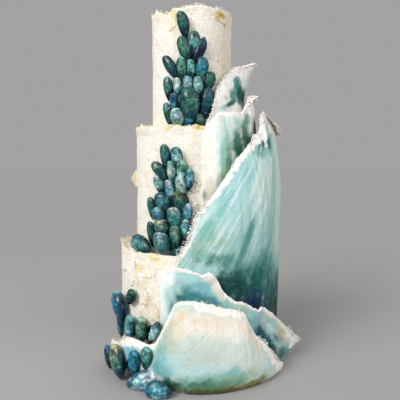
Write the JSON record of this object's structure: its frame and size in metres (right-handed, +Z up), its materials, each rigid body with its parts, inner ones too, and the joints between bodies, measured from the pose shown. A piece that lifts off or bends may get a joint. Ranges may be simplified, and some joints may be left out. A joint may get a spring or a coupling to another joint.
{
  "type": "tiered wedding cake",
  "caption": "Tall cylindrical tiered cake with torn paper rims, clusters of sugar mussels down the front and torn painted icing waves sweeping round one side.",
  "frame": {"origin": "on the tiers' shared axis, at the flat foot of the bottom tier", "axes": "+Z up the cake's axis; -Y is the front, where the mussels are; +X is the side the waves sweep round"},
  "size_m": [0.3035, 0.274, 0.542],
  "materials": {
    "icing_cream": "matte crumpled icing with torn gold-edged paper rims",
    "wave_upper": "satin, painted white to teal and dark green",
    "wave_main": "satin, streaked white, teal and deep blue-green",
    "wave_lower": "satin, cream lip over teal and blue",
    "wave_front": "satin, cream over pale blue-grey with an olive foot",
    "shell_teal": "glossy glaze over fine growth ridges",
    "shell_green": "glossy glaze over fine growth ridges",
    "shell_blue": "glossy glaze over fine growth ridges",
    "shell_pale": "glossy glaze over fine growth ridges"
  },
  "bodies": {
    "root": {"tier_bottom": "icing_cream", "tier_middle": "icing_cream", "tier_top": "icing_cream", "wave_upper": "wave_upper", "wave_main": "wave_main", "wave_lower": "wave_lower", "wave_front": "wave_front", "shell_top_01": "shell_teal", "shell_top_02": "shell_green", "shell_top_03": "shell_green", "shell_top_04": "shell_teal", "shell_top_05": "shell_teal", "shell_top_06": "shell_teal", "shell_top_07": "shell_pale", "shell_top_08": "shell_teal", "shell_top_09": "shell_green", "shell_top_10": "shell_teal", "shell_top_11": "shell_pale", "shell_top_12": "shell_pale", "shell_top_13": "shell_pale", "shell_top_14": "shell_green", "shell_top_15": "shell_teal", "shell_top_16": "shell_green", "shell_top_17": "shell_blue", "shell_top_18": "shell_pale", "shell_top_19": "shell_blue", "shell_top_20": "shell_green", "shell_middle_01": "shell_teal", "shell_middle_02": "shell_pale", "shell_middle_03": "shell_teal", "shell_middle_04": "shell_pale", "shell_middle_05": "shell_green", "shell_middle_06": "shell_blue", "shell_middle_07": "shell_pale", "shell_middle_08": "shell_blue", "shell_middle_09": "shell_pale", "shell_middle_10": "shell_teal", "shell_middle_11": "shell_green", "shell_middle_12": "shell_green", "shell_middle_13": "shell_blue", "shell_middle_14": "shell_pale", "shell_middle_15": "shell_green", "shell_middle_16": "shell_teal", "shell_middle_17": "shell_green", "shell_middle_18": "shell_pale", "shell_middle_19": "shell_blue", "shell_ledge_left": "shell_pale", "shell_ledge_right": "shell_blue", "shell_low_01": "shell_blue", "shell_low_02": "shell_green", "shell_low_03": "shell_blue", "shell_low_04": "shell_pale", "shell_low_05": "shell_green", "shell_low_06": "shell_pale", "shell_foot_01": "shell_teal", "shell_foot_02": "shell_green", "shell_foot_03": "shell_blue", "shell_foot_04": "shell_green", "shell_pearl": "shell_pale", "shell_stray": "shell_blue"}
  },
  "joints": []
}
